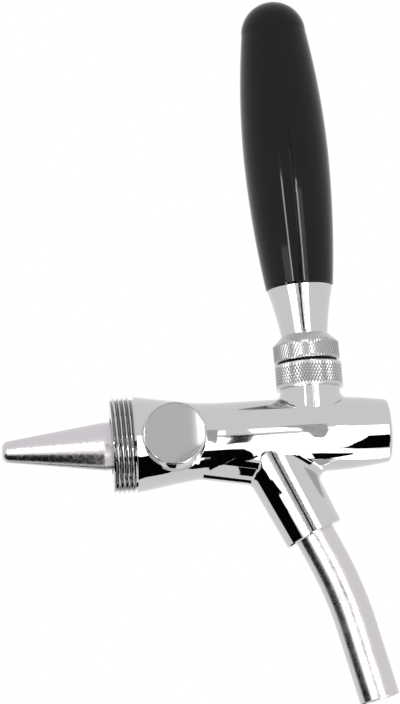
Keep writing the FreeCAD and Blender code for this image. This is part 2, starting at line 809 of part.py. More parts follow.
grip = simple_turned("grip", [
    ("zero", INSERT_TOP),
    ("insert_radius", INSERT_TOP),
    ("insert_radius", "ferrule_top + insert_flange"),
    ("insert_flange_radius", "ferrule_top + insert_flange"),
    ("insert_flange_radius", "ferrule_top"),
    ("grip_foot_radius - grip_foot_chamfer", "ferrule_top"),
    ("grip_foot_radius", "ferrule_top + grip_foot_rise", "grip_low_arc", -1),
    ("grip_radius", "grip_widest", "grip_high_arc", -1),
    ("grip_shoulder_radius", "grip_top - grip_dome_height", "domed", -1),
    ("zero", "grip_top"),
])
on_pivot(grip)

# The compensator: a long cone in front of three guide fins and a slotted tongue.
cone = new_body("compensator_cone")
cone_outline = outline(sketch_on(cone, "cone_outline", "XZ_Plane"), [
    ("cone_tip", "zero"),
    ("cone_tip", "cone_tip_radius", "cone_tip_arc", 1),
    ("cone_nose", "cone_nose_radius"),
    ("cone_root", "cone_root_radius"),
    ("cone_core", "cone_root_radius"),
    ("cone_core", "core_radius"),
    ("fin_end", "core_radius"),
    ("fin_end", "zero"),
])
turned(cone, "cone_turned", cone_outline, "H_Axis")
fin_sketch = outline(sketch_on(cone, "fin_outline", "XZ_Plane"), [
    ("cone_core - fin_width", "zero"),
    ("cone_core - fin_width", "rear_bore - free_gap"),
    ("fin_end", "rear_bore - free_gap"),
    ("fin_end", "zero"),
])
fin = extruded(cone, "fin", fin_sketch, "fin_width", midplane=True)
fins = cone.newObject("PartDesign::PolarPattern", "fins")
fins.Originals = [fin]
fins.Axis = (plane_of(cone, "X_Axis"), [""])
fins.Angle = 360
fins.Occurrences = 3
cone.Tip = fins
doc.recompute()
tongue_sketch = outline(sketch_on(cone, "tongue_outline", "XZ_Plane"), [
    ("fin_end - fin_width", "zero - tongue_half_height"),
    ("tongue_end", "zero - tongue_half_height"),
    ("tongue_end", "tongue_half_height"),
    ("fin_end - fin_width", "tongue_half_height"),
])
extruded(cone, "tongue", tongue_sketch, "tongue_half_width + tongue_half_width", midplane=True)
slot_sketch = outline(sketch_on(cone, "slot_outline", "XZ_Plane"), [
    ("boss_place - pin_radius - slot_gap", "slot_bottom"),
    ("boss_place + pin_radius + slot_gap", "slot_bottom"),
    ("boss_place + pin_radius + slot_gap", "slot_top"),
    ("boss_place - pin_radius - slot_gap", "slot_top"),
])
extruded(cone, "slot", slot_sketch, "rear_bore + rear_bore", cut=True, midplane=True)

# The spindle lies across the body in the gland boss. Its eccentric pin moves the tongue.
# Its own X is the body's X, and its axis is Y.
SEAL_PLACE = "gland_chamber_floor + spindle_seal_section + seal_gap"
FLANGE_PLACE = "gland_chamber_floor + spindle_seal_section + spindle_seal_section + sliding_gap"
HUB_PLACE = "gland_boss_face + gland_nut_height + free_gap"
HUB_END = HUB_PLACE + " + hub_width"
spindle = new_body("adjuster_spindle")
spindle_outline = outline(sketch_on(spindle, "spindle_outline", "YZ_Plane"), [
    ("tongue_half_width + free_gap", "zero"),
    ("tongue_half_width + free_gap", "spindle_radius"),
    (FLANGE_PLACE, "spindle_radius"),
    (FLANGE_PLACE, "spindle_flange_radius"),
    (FLANGE_PLACE + " + spindle_flange_width", "spindle_flange_radius"),
    (FLANGE_PLACE + " + spindle_flange_width", "spindle_radius"),
    (HUB_PLACE, "spindle_radius"),
    (HUB_PLACE, "spindle_end_radius"),
    (HUB_END + " - sliding_gap", "spindle_end_radius"),
    (HUB_END + " - sliding_gap", "screw_radius"),
    (HUB_END + " - screw_depth", "screw_radius"),
    (HUB_END + " - screw_depth", "zero"),
])
turned(spindle, "spindle_turned", spindle_outline, "H_Axis")
pin_ring = circle(
    sketch_on(spindle, "pin_ring", "XZ_Plane", {"z": "zero - tongue_half_width - pin_root"}),
    "pin_radius", "zero", "zero - pin_throw")
extruded(spindle, "pin", pin_ring, "tongue_half_width + tongue_half_width + pin_root")
bind(spindle, "Placement.Base.x", "boss_place")

ring("adjuster_seal", "spindle_radius + spindle_seal_section", "spindle_seal_section - seal_gap",
     ALONG_Y, {"x": "boss_place", "y": SEAL_PLACE})


def across(kind, name, radius, length, low):
    """A round primitive on the spindle's axis, from y = low."""
    piece = doc.addObject(kind, name)
    bind(piece, "Radius", radius)
    bind(piece, "Height", length)
    piece.Placement = Placement(Vector(), ALONG_Y)
    bind(piece, "Placement.Base.x", "boss_place")
    bind(piece, "Placement.Base.y", low)
    return piece


NUT_ENTRY = FLANGE_PLACE + " + spindle_flange_width + sliding_gap"
gland_head = doc.addObject("Part::Prism", "gland_head")
gland_head.Polygon = 6
gland_head.setExpression("Circumradius", "Sizes.gland_nut_flats / 2 / cos(30 deg)")
bind(gland_head, "Height", "gland_nut_height")
gland_head.Placement = Placement(Vector(), ALONG_Y)
bind(gland_head, "Placement.Base.x", "boss_place")
bind(gland_head, "Placement.Base.y", "gland_boss_face")
gland_neck = across("Part::Cylinder", "gland_neck", "gland_chamber",
                    "gland_boss_face - " + NUT_ENTRY.replace(" + ", " - "), NUT_ENTRY)
gland_solid = doc.addObject("Part::MultiFuse", "gland_solid")
gland_solid.Shapes = [gland_head, gland_neck]
gland_hole = across("Part::Cylinder", "gland_hole", "spindle_radius + running_gap",
                    "gland_boss_face + gland_nut_height", "zero")
gland = listed(doc.addObject("Part::Cut", "adjuster_gland"), "adjuster_gland")
gland.Base = gland_solid
gland.Tool = gland_hole

# The compensator's small lever: a hub on the spindle's end, an arm and a round knob.
hub = across("Part::Cylinder", "hub", "hub_radius", "hub_width", HUB_PLACE)
arm = doc.addObject("Part::Cone", "arm")
bind(arm, "Radius1", "arm_radius")
bind(arm, "Radius2", "arm_end_radius")
bind(arm, "Height", "arm_length")
arm.Placement = Placement(Vector(), ALONG_X)
knob = doc.addObject("Part::Sphere", "knob")
bind(knob, "Radius", "knob_radius")
ARM_HEIGHT = HUB_PLACE + " + hub_half"
bind(arm, "Placement.Base.x", "boss_place")
bind(arm, "Placement.Base.y", ARM_HEIGHT)
bind(knob, "Placement.Base.x", "boss_place + arm_length")
bind(knob, "Placement.Base.y", ARM_HEIGHT)
lever_solid = doc.addObject("Part::MultiFuse", "adjuster_lever_solid")
lever_solid.Shapes = [hub, arm, knob]
hub_hole = across("Part::Cylinder", "hub_hole", "spindle_end_radius", "hub_width", HUB_PLACE)
adjuster = listed(doc.addObject("Part::Cut", "adjuster_lever"), "adjuster_lever")
adjuster.Base = lever_solid
adjuster.Tool = hub_hole

screw = new_body("adjuster_screw")
screw_outline = outline(sketch_on(screw, "screw_outline", "YZ_Plane"), [
    (HUB_END + " - screw_depth", "zero"),
    (HUB_END + " - screw_depth", "screw_radius"),
    (HUB_END, "screw_radius"),
    (HUB_END, "screw_head_radius"),
    (HUB_END + " + screw_head_height - screw_slot_depth", "screw_head_radius", "domed", 1),
    (HUB_END + " + screw_head_height", "zero"),
])
turned(screw, "screw_turned", screw_outline, "H_Axis")
bind(screw, "Placement.Base.x", "boss_place")

doc.recompute()
for thing in doc.Objects:
    if any(mark in thing.State for mark in ("Invalid", "Error")):
        raise RuntimeError("%s is %s" % (thing.Name, thing.State))
for piece in parts:
    if piece.Shape.isNull() or not piece.Shape.isValid() or not piece.Shape.Solids:
        raise RuntimeError(piece.Label + " has no sound shape")

os.makedirs("parts", exist_ok=True)
for piece in parts:
    piece.Shape.exportStep("parts/%s.step" % piece.Label)
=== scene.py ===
import json
import math

import bpy
from mathutils import Matrix, Vector
from mathutils.kdtree import KDTree

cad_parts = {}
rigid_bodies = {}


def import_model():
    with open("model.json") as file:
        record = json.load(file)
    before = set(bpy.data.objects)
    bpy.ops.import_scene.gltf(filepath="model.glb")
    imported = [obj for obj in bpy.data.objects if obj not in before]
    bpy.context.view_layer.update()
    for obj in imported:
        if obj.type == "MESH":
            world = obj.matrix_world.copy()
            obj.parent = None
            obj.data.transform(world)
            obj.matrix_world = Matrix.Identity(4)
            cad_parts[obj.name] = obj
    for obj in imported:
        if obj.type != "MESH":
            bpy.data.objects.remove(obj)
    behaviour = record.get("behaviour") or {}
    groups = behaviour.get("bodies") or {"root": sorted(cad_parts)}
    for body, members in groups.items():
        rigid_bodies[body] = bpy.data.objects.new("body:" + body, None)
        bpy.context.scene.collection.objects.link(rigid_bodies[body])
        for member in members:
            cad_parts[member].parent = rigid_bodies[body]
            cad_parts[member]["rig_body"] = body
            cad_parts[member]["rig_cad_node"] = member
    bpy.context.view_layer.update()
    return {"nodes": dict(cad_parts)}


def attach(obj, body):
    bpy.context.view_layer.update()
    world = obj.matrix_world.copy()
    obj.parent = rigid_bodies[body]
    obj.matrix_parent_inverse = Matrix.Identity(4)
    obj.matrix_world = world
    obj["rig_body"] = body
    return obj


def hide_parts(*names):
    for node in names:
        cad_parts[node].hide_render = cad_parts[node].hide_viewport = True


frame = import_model()
node = frame["nodes"]

# --- The tap's body: one brass casting, turned, polished and chromed all over. Its rear end has
# a thread, 18 to the inch, and its near boss is slightly domed. The CAD solid's plain faces are
# taken off a copy there, and a modelled sleeve and dome are closed onto it.
micron = 1e-6


def nothing_selected():
    """Leave edit mode with nothing selected, because operators act on all that is selected."""
    if bpy.context.object and bpy.context.object.mode != "OBJECT":
        bpy.ops.object.mode_set(mode="OBJECT")
    bpy.ops.object.select_all(action="DESELECT")


def work_on(piece):
    nothing_selected()
    piece.select_set(True)
    bpy.context.view_layer.objects.active = piece


def all_over(piece, operator, **how):
    """Use one of edit mode's operators on the whole piece."""
    work_on(piece)
    bpy.ops.object.mode_set(mode="EDIT")
    bpy.ops.mesh.select_all(action="SELECT")
    operator(**how)
    bpy.ops.object.mode_set(mode="OBJECT")


def copy_of_node(name, piece_name):
    """A copy of a CAD node with its loose triangles merged."""
    piece = node[name].copy()
    piece.data = node[name].data.copy()
    piece.name = piece_name
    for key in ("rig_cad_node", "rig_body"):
        if key in piece:
            del piece[key]
    piece.parent = None
    bpy.context.scene.collection.objects.link(piece)
    all_over(piece, bpy.ops.mesh.remove_doubles, threshold=micron)
    return piece


def take_off_faces(piece, unwanted):
    """Take off the faces that the test picks by their middle and the way they face."""
    work_on(piece)
    for face in piece.data.polygons:
        face.select = bool(unwanted(face.center, face.normal))
    for edge in piece.data.edges:
        edge.select = False
    bpy.context.tool_settings.mesh_select_mode = (False, False, True)
    bpy.ops.object.mode_set(mode="EDIT")
    bpy.ops.mesh.delete(type="FACE")
    bpy.ops.object.mode_set(mode="OBJECT")


def join_pieces(piece, other):
    work_on(piece)
    other.select_set(True)
    bpy.ops.object.join()


def bridge_open_edges(piece, near):
    """Close the gap between two open rims whose points the test picks."""
    work_on(piece)
    bpy.context.tool_settings.mesh_select_mode = (False, True, False)
    bpy.ops.object.mode_set(mode="EDIT")
    bpy.ops.mesh.select_all(action="DESELECT")
    bpy.ops.mesh.select_non_manifold(extend=False, use_wire=False, use_boundary=True,
                                     use_multi_face=False, use_non_contiguous=False,
                                     use_verts=False)
    bpy.ops.object.mode_set(mode="OBJECT")
    points = piece.data.vertices
    for edge in piece.data.edges:
        edge.select = edge.select and all(near(points[i].co) for i in edge.vertices)
    for point in points:
        point.select = False
    for edge in piece.data.edges:
        if edge.select:
            for i in edge.vertices:
                points[i].select = True
    bpy.ops.object.mode_set(mode="EDIT")
    bpy.ops.mesh.bridge_edge_loops()
    bpy.ops.object.mode_set(mode="OBJECT")


def turned_sleeve(name, radius, low, high, columns, rows):
    """An open tube of quads about Z, from one height to another."""
    nothing_selected()
    bpy.ops.mesh.primitive_cylinder_add(vertices=columns, radius=radius, depth=high - low,
                                        end_fill_type="NOTHING",
                                        location=(0, 0, (low + high) / 2))
    piece = bpy.context.object
    piece.name = name
    bpy.ops.object.transform_apply(location=True, rotation=True, scale=True)
    bpy.context.tool_settings.mesh_select_mode = (False, True, False)
    bpy.ops.object.mode_set(mode="EDIT")
    bpy.ops.mesh.select_all(action="DESELECT")
    bpy.ops.object.mode_set(mode="OBJECT")
    for edge in piece.data.edges:
        a, b = (piece.data.vertices[i].co for i in edge.vertices)
        edge.select = abs(a.z - b.z) > (high - low) / 2
    bpy.ops.object.mode_set(mode="EDIT")
    bpy.ops.mesh.subdivide(number_cuts=rows - 1)
    bpy.ops.object.mode_set(mode="OBJECT")
    return piece


def shade_as_made(piece, name, angle):
    """Faces of the CAD node keep its smooth shading, and new ones are shaded by their angle."""
    work_on(piece)
    bpy.ops.mesh.customdata_custom_splitnormals_clear()
    bpy.ops.object.shade_smooth_by_angle(angle=math.radians(angle))
    source, mesh = node[name].data, piece.data
    middles = KDTree(len(source.polygons))
    for face in source.polygons:
        middles.insert(face.center, face.index)
    middles.balance()
    shading = [(0, 0, 0)] * len(mesh.loops)
    for face in mesh.polygons:
        _, match, distance = middles.find(face.center)
        if distance > micron:
            continue
        corners = source.polygons[match].loop_indices
        for corner in face.loop_indices:
            point = mesh.vertices[mesh.loops[corner].vertex_index].co
            nearest = min(corners, key=lambda c: (
                source.vertices[source.loops[c].vertex_index].co - point).length)
            shading[corner] = source.corner_normals[nearest].vector
    mesh.normals_split_custom_set(shading)


thread_pitch = 0.001411
thread_crest = 0.01429
thread_root = 0.0135
thread_length = 0.0065
rear_bore = 0.0085
# where round the axis the thread starts, in turns, and how its flanks rise from flat roots
thread_start = 0.31
flank_steepness = 1.32
root_flat = 0.14
rear_lead_in = 0.0007
front_run_out = 0.0004

tap_body = copy_of_node("tap_body", "tap_body_with_thread")
take_off_faces(tap_body, lambda c, n: c.x < thread_length + 10 * micron
               and math.hypot(c.y, c.z) > thread_root - 200 * micron
               or c.x < micron and math.hypot(c.y, c.z) > rear_bore + 10 * micron)

thread = turned_sleeve("rear_thread", thread_root, 0, thread_length, columns=144, rows=46)
for point in thread.data.vertices:
    along = point.co.z
    turn = math.atan2(point.co.y, point.co.x) / (2 * math.pi)
    place = (along / thread_pitch - turn + thread_start) % 1.0
    flank = min(1.0, max(0.0, flank_steepness * (1 - abs(2 * place - 1)) - root_flat))
    rise = flank * flank * (3 - 2 * flank)
    lead = min(1.0, along / rear_lead_in, (thread_length - along) / front_run_out)
    size = (thread_root + (thread_crest - thread_root) * rise * lead) / thread_root
    point.co.x *= size
    point.co.y *= size
# the sleeve was made about Z and the body's axis is X, so Z becomes X
thread.data.transform(Matrix(((0, 0, 1, 0), (0, 1, 0, 0), (-1, 0, 0, 0), (0, 0, 0, 1))))
thread.data.update()
join_pieces(tap_body, thread)
bridge_open_edges(tap_body, lambda p: p.x < 10 * micron
                  and math.hypot(p.y, p.z) < thread_crest)
bridge_open_edges(tap_body, lambda p: abs(p.x - thread_length) < 10 * micron)

# the boss's domed face stands as far out in the middle as the CAD solid's flat one and falls
# back a little to its rim, and the face and its rounded rim also sit a little higher
boss_place = 0.0182
boss_lift = 0.0007
boss_face = min(p.co.y for p in tap_body.data.vertices)
boss_rim = max(math.hypot(p.co.x - boss_place, p.co.z) for p in tap_body.data.vertices
               if abs(p.co.y - boss_face) < micron)
rim_rounding = 0.00056
dome_radius = 0.30
dome_short_of_rim = 0.0003
rim_margin = 0.0004


def on_the_dome(away):
    """Where the domed face lies across the tap, at a distance from its middle."""
    return boss_face + away * away / (2 * dome_radius)


take_off_faces(tap_body, lambda c, n: n.y < -0.999 and abs(c.y - boss_face) < micron)
for point in tap_body.data.vertices:
    if abs(point.co.y - boss_face) < micron:
        point.co.y = on_the_dome(boss_rim)
    if point.co.y < boss_face + rim_rounding:
        point.co.z += boss_lift
dome = turned_sleeve("boss_dome", boss_rim, 0, 1, columns=96, rows=14)
for point in dome.data.vertices:
    away = (boss_rim - dome_short_of_rim) * (1 - point.co.z)
    turn = math.atan2(point.co.y, point.co.x)
    point.co = (boss_place + away * math.cos(turn), on_the_dome(away),
                boss_lift + away * math.sin(turn))
join_pieces(tap_body, dome)
bridge_open_edges(tap_body, lambda p: p.y < boss_face + rim_margin
                  and math.hypot(p.x - boss_place, p.z - boss_lift) > boss_rim - rim_margin)
all_over(tap_body, bpy.ops.mesh.remove_doubles, threshold=micron)
all_over(tap_body, bpy.ops.mesh.normals_make_consistent, inside=False)
shade_as_made(tap_body, "tap_body", angle=24)


def add_socket(group, name, kind, way, value=None):
    socket = group.interface.new_socket(name=name, in_out=way, socket_type=kind)
    if value is not None:
        socket.default_value = value


def link(tree, start, end):
    tree.links.new(start, end)


def worked_out(tree, operation, first, second=0):
    """What a Math node makes of one or two sockets or numbers."""
    sum_node = tree.nodes.new("ShaderNodeMath")
    sum_node.operation = operation
    for place, value in enumerate((first, second)):
        if isinstance(value, (int, float)):
            sum_node.inputs[place].default_value = value
        else:
            link(tree, value, sum_node.inputs[place])
    return sum_node.outputs[0]


def add_relief(tree, height, distance):
    """Raise a material's surface by a height, on top of any relief that it has."""
    shader = tree.nodes["Principled BSDF"]
    bump = tree.nodes.new("ShaderNodeBump")
    bump.inputs["Strength"].default_value = 1.0
    bump.inputs["Distance"].default_value = distance
    link(tree, height, bump.inputs["Height"])
    if shader.inputs["Normal"].links:
        link(tree, shader.inputs["Normal"].links[0].from_socket, bump.inputs["Normal"])
    link(tree, bump.outputs["Normal"], shader.inputs["Normal"])


# what polishing, plating and handling leave on every piece: patches that shine a little less,
# and a surface that is never quite true
polish = bpy.data.node_groups.new("polish_marks", "ShaderNodeTree")
add_socket(polish, "Patch scale", "NodeSocketFloat", "INPUT", 60.0)
add_socket(polish, "Smooth", "NodeSocketFloat", "INPUT", 0.03)
add_socket(polish, "Worn", "NodeSocketFloat", "INPUT", 0.08)
add_socket(polish, "Wave scale", "NodeSocketFloat", "INPUT", 90.0)
add_socket(polish, "Roughness", "NodeSocketFloat", "OUTPUT")
add_socket(polish, "Waves", "NodeSocketFloat", "OUTPUT")
inside = polish.nodes.new("NodeGroupInput")
outside = polish.nodes.new("NodeGroupOutput")
place = polish.nodes.new("ShaderNodeTexCoord")
patches = polish.nodes.new("ShaderNodeTexNoise")
patches.inputs["Detail"].default_value = 5.0
patches.inputs["Roughness"].default_value = 0.62
spread = polish.nodes.new("ShaderNodeMapRange")
spread.inputs["From Min"].default_value = 0.35
spread.inputs["From Max"].default_value = 0.72
waves = polish.nodes.new("ShaderNodeTexNoise")
waves.inputs["Detail"].default_value = 1.5
waves.inputs["Roughness"].default_value = 0.35
link(polish, place.outputs["Object"], patches.inputs["Vector"])
link(polish, place.outputs["Object"], waves.inputs["Vector"])
link(polish, inside.outputs["Patch scale"], patches.inputs["Scale"])
link(polish, inside.outputs["Wave scale"], waves.inputs["Scale"])
link(polish, patches.outputs["Fac"], spread.inputs["Value"])
link(polish, inside.outputs["Smooth"], spread.inputs["To Min"])
link(polish, inside.outputs["Worn"], spread.inputs["To Max"])
link(polish, spread.outputs["Result"], outside.inputs["Roughness"])
link(polish, waves.outputs["Fac"], outside.inputs["Waves"])


def new_finish(name, colour, metallic, smooth, worn, patch, wave=90.0, height=0.0):
    """A material with the polish marks in its roughness and, if it has a height, its surface."""
    finish = bpy.data.materials.new(name)
    finish.use_nodes = True
    tree = finish.node_tree
    shader = tree.nodes["Principled BSDF"]
    shader.inputs["Base Color"].default_value = (*colour, 1)
    shader.inputs["Metallic"].default_value = metallic
    marks = tree.nodes.new("ShaderNodeGroup")
    marks.node_tree = polish
    marks.inputs["Patch scale"].default_value = patch
    marks.inputs["Smooth"].default_value = smooth
    marks.inputs["Worn"].default_value = worn
    marks.inputs["Wave scale"].default_value = wave
    link(tree, marks.outputs["Roughness"], shader.inputs["Roughness"])
    if height:
        add_relief(tree, marks.outputs["Waves"], height)
    return finish


# fine lines that a tool, brush or die leaves: noise along one direction only
tooling = bpy.data.node_groups.new("tool_lines", "ShaderNodeTree")
add_socket(tooling, "Place", "NodeSocketFloat", "INPUT", 0.0)
add_socket(tooling, "Lines", "NodeSocketFloat", "INPUT", 3000.0)
add_socket(tooling, "Rough", "NodeSocketFloat", "INPUT", 0.3)
add_socket(tooling, "Height", "NodeSocketFloat", "OUTPUT")
add_socket(tooling, "Roughness", "NodeSocketFloat", "OUTPUT")
inside = tooling.nodes.new("NodeGroupInput")
outside = tooling.nodes.new("NodeGroupOutput")
lines = tooling.nodes.new("ShaderNodeTexNoise")
lines.noise_dimensions = "1D"
lines.inputs["Detail"].default_value = 3.0
lines.inputs["Roughness"].default_value = 0.6
spread = tooling.nodes.new("ShaderNodeMapRange")
spread.inputs["From Min"].default_value = 0.3
spread.inputs["From Max"].default_value = 0.7
spread.inputs["To Min"].default_value = 0.0
link(tooling, inside.outputs["Place"], lines.inputs["W"])
link(tooling, inside.outputs["Lines"], lines.inputs["Scale"])
link(tooling, lines.outputs["Fac"], spread.inputs["Value"])
link(tooling, inside.outputs["Rough"], spread.inputs["To Max"])
link(tooling, lines.outputs["Fac"], outside.inputs["Height"])
link(tooling, spread.outputs["Result"], outside.inputs["Roughness"])


def add_tool_lines(finish, axis, per_metre, rough, height):
    """Give a finish lines that run square to X, Y or Z, and add to its roughness."""
    tree = finish.node_tree
    shader = tree.nodes["Principled BSDF"]
    place = tree.nodes.new("ShaderNodeTexCoord")
    apart = tree.nodes.new("ShaderNodeSeparateXYZ")
    marks = tree.nodes.new("ShaderNodeGroup")
    marks.node_tree = tooling
    marks.inputs["Lines"].default_value = per_metre
    marks.inputs["Rough"].default_value = rough
    link(tree, place.outputs["Object"], apart.inputs[0])
    link(tree, apart.outputs[axis], marks.inputs["Place"])
    add_relief(tree, marks.outputs["Height"], height)
    rougher = worked_out(tree, "ADD", shader.inputs["Roughness"].links[0].from_socket,
                         marks.outputs["Roughness"])
    link(tree, rougher, shader.inputs["Roughness"])
    return finish


# painted shade: the bottom of a thread or knurl is darkened in its colour, as where shade
# falls in it; a groove is found by how far a point lies below the crests, in parts of the
# groove's depth, and what lies deeper is another surface, such as a bore
grooves = bpy.data.node_groups.new("painted_groove_shade", "ShaderNodeTree")
add_socket(grooves, "Place", "NodeSocketVector", "INPUT")
add_socket(grooves, "Radius", "NodeSocketFloat", "INPUT", 0.01)
add_socket(grooves, "Depth", "NodeSocketFloat", "INPUT", 0.0002)
add_socket(grooves, "Low", "NodeSocketFloat", "INPUT", 0.0)
add_socket(grooves, "High", "NodeSocketFloat", "INPUT", 0.01)
add_socket(grooves, "Groove", "NodeSocketFloat", "OUTPUT")
inside = grooves.nodes.new("NodeGroupInput")
outside = grooves.nodes.new("NodeGroupOutput")
apart = grooves.nodes.new("ShaderNodeSeparateXYZ")
link(grooves, inside.outputs["Place"], apart.inputs[0])
square = worked_out(grooves, "ADD", worked_out(grooves, "POWER", apart.outputs["X"], 2),
                    worked_out(grooves, "POWER", apart.outputs["Y"], 2))
away = worked_out(grooves, "POWER", square, 0.5)
sunk = worked_out(grooves, "DIVIDE",
                  worked_out(grooves, "SUBTRACT", inside.outputs["Radius"], away),
                  inside.outputs["Depth"])
within = worked_out(grooves, "MULTIPLY",
                    worked_out(grooves, "GREATER_THAN", apart.outputs["Z"],
                               inside.outputs["Low"]),
                    worked_out(grooves, "LESS_THAN", apart.outputs["Z"],
                               inside.outputs["High"]))
deepest = 1.3
near_surface = worked_out(grooves, "LESS_THAN", sunk, deepest)
link(grooves, worked_out(grooves, "MULTIPLY", worked_out(grooves, "MULTIPLY", sunk, within),
                         near_surface), outside.inputs["Groove"])


def paint_groove_shade(finish, onto_axis, radius, depth, low, high, dark):
    """Paint shade into the grooves of a thread or knurl, whose axis a matrix brings onto Z."""
    tree = finish.node_tree
    shader = tree.nodes["Principled BSDF"]
    place = tree.nodes.new("ShaderNodeTexCoord")
    turned = tree.nodes.new("ShaderNodeMapping")
    turned.inputs["Location"].default_value = onto_axis.to_translation()
    turned.inputs["Rotation"].default_value = onto_axis.to_euler("XYZ")
    link(tree, place.outputs["Object"], turned.inputs["Vector"])
    marks = tree.nodes.new("ShaderNodeGroup")
    marks.node_tree = grooves
    link(tree, turned.outputs["Vector"], marks.inputs["Place"])
    for name, value in (("Radius", radius), ("Depth", depth), ("Low", low), ("High", high)):
        marks.inputs[name].default_value = value
    # painted shade: the finish's colour is mixed towards the dark one as deep as the groove goes
    mixed = tree.nodes.new("ShaderNodeMix")
    mixed.data_type = "RGBA"
    mixed.inputs[6].default_value = shader.inputs["Base Color"].default_value
    mixed.inputs[7].default_value = (*dark, 1)
    link(tree, marks.outputs["Groove"], mixed.inputs[0])
    link(tree, mixed.outputs[2], shader.inputs["Base Color"])
    return turned.outputs["Vector"]


def dress(piece, finish):
    """Give a piece or a CAD node one finish all over."""
    if not piece.material_slots:
        piece.data.materials.append(finish)
    for place_for_finish in piece.material_slots:
        place_for_finish.material = finish


chrome_colour = (0.56, 0.56, 0.565)
body_chrome = new_finish("polished_chrome", chrome_colour, metallic=1.0, smooth=0.015, worn=0.05,
                         patch=140.0, wave=70.0, height=0.00006)
# painted shade: the rear thread's grooves are darkened in the body's chrome colour
paint_groove_shade(body_chrome, Matrix.Rotation(math.radians(-90), 4, "Y"), thread_crest,
               thread_crest - thread_root, 0, thread_length, dark=(0.20, 0.20, 0.20))
dress(tap_body, body_chrome)
# the boss's face has a darker chrome than the body: its colour is painted shade that stands for
# the face's dim grey reflection, and its fine lines are relief
brushed_chrome_painted_shade = add_tool_lines(
    new_finish("brushed_chrome_painted_shade", (0.42, 0.42, 0.42), metallic=1.0, smooth=0.02, worn=0.05,
               patch=160.0, wave=160.0, height=0.00001),
    "X", per_metre=2500.0, rough=0.05, height=0.000001)
tap_body.data.materials.append(brushed_chrome_painted_shade)
disc_depth = 0.0003
for face in tap_body.data.polygons:
    if (face.center.y < boss_face + disc_depth
            and math.hypot(face.center.x - boss_place, face.center.z - boss_lift) < boss_rim):
        face.material_index = len(tap_body.data.materials) - 1
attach(tap_body, "root")
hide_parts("tap_body")

# --- The flow compensator: a pointed stainless cone in the rear bore, on a keyed shank with
# four guide fins. It is turned on a lathe, which leaves fine rings along it.
turned_steel = add_tool_lines(
    new_finish("turned_steel", (0.60, 0.565, 0.595), metallic=1.0, smooth=0.12, worn=0.30,
               patch=700.0, wave=900.0, height=0.00002),
    "X", per_metre=6000.0, rough=0.12, height=0.000004)
dress(node["compensator_cone"], turned_steel)

# --- The adjuster on the far side: an eccentric stainless spindle in a chromed hexagon gland,
# with its seal, and a cast and chromed finger lever that one slotted screw holds.
dress(node["adjuster_gland"], body_chrome)
dress(node["adjuster_lever"], body_chrome)
plain_steel = add_tool_lines(
    new_finish("plain_steel", (0.48, 0.48, 0.48), metallic=1.0, smooth=0.12, worn=0.24,
               patch=180.0),
    "Y", per_metre=4000.0, rough=0.14, height=0.000003)
dress(node["adjuster_spindle"], plain_steel)
dress(node["adjuster_screw"], plain_steel)

# --- The valve inside the body: a turned brass shaft with a rubber washer held by a brass
# nut, which closes on the seat behind it.
turned_brass = add_tool_lines(
    new_finish("turned_brass", (0.60, 0.43, 0.17), metallic=1.0, smooth=0.10, worn=0.22,
               patch=160.0),
    "X", per_metre=5000.0, rough=0.15, height=0.000004)
dress(node["valve_shaft"], turned_brass)
dress(node["valve_nut"], turned_brass)
washer_rubber = new_finish("washer_rubber", (0.03, 0.03, 0.03), metallic=0.0, smooth=0.55,
                           worn=0.8, patch=400.0, wave=1500.0, height=0.00001)
dress(node["valve_washer"], washer_rubber)

# --- The seals: rings of moulded rubber that hold the beer in. They lie round the spout in its
# socket, under the ball, in two grooves of the valve's shaft and in one of the adjuster.
seal_rubber = new_finish("seal_rubber", (0.015, 0.015, 0.015), metallic=0.0, smooth=0.4,
                         worn=0.6, patch=500.0, wave=2500.0, height=0.000008)
for ring in ("spout_seal", "ball_seal", "valve_seal_rear", "valve_seal_front",
             "adjuster_seal"):
    dress(node[ring], seal_rubber)

# --- The spout: stainless tube, drawn and bent once, brushed along its length to a satin
# finish. Its bend lies in the plane y = 0, so a line drawn along it keeps its own y.
drawn_steel = add_tool_lines(
    new_finish("drawn_steel", (0.60, 0.575, 0.60), metallic=1.0, smooth=0.14, worn=0.26,
               patch=260.0, wave=60.0, height=0.00002),
    "Y", per_metre=5000.0, rough=0.12, height=0.000003)
dress(node["spout_tube"], drawn_steel)

# --- The ball lever: a stainless ball with a finger below and a threaded stem above, between
# a rubber ring and a white plastic washer that the collar nut presses down.
dress(node["ball_lever"], plain_steel)
white_polymer = new_finish("white_polymer", (0.72, 0.72, 0.70), metallic=0.0, smooth=0.45,
                           worn=0.6, patch=300.0)
dress(node["ball_washer"], white_polymer)

# --- The collar nut: turned brass, diamond knurled on a lathe and chromed. It is screwed on
# the body's neck. Its smooth outside is cut off a copy and a knurled sleeve takes its place.


def knurl(piece, axis_place, depth, picked):
    """Press in the points that the pattern picks, towards the axis at the given place."""
    for point in piece.data.vertices:
        share = picked(point.co)
        away = math.hypot(point.co.x - axis_place, point.co.y)
        size = (away - depth * share) / away
        point.co.x = axis_place + (point.co.x - axis_place) * size
        point.co.y *= size


neck_place = 0.0607
collar_radius = 0.0101
diamonds = 66
diamond_rows = 8
diamond_depth = 0.00026
collar_rim_share = 0.35

collar = copy_of_node("collar_nut", "collar_nut_knurled")
take_off_faces(collar, lambda c, n: abs(n.z) < 0.2
               and abs(math.hypot(c.x - neck_place, c.y) - collar_radius) < 60 * micron)
rim_heights = sorted({
    round(p.co.z, 6) for p in collar.data.vertices
    if abs(math.hypot(p.co.x - neck_place, p.co.y) - collar_radius) < 10 * micron})
collar_low, collar_high = rim_heights[0], rim_heights[-1]
sleeve = turned_sleeve("collar_knurl", collar_radius, collar_low, collar_high,
                       columns=2 * diamonds, rows=diamond_rows)
sleeve.data.transform(Matrix.Translation((neck_place, 0, 0)))
row_height = (collar_high - collar_low) / diamond_rows


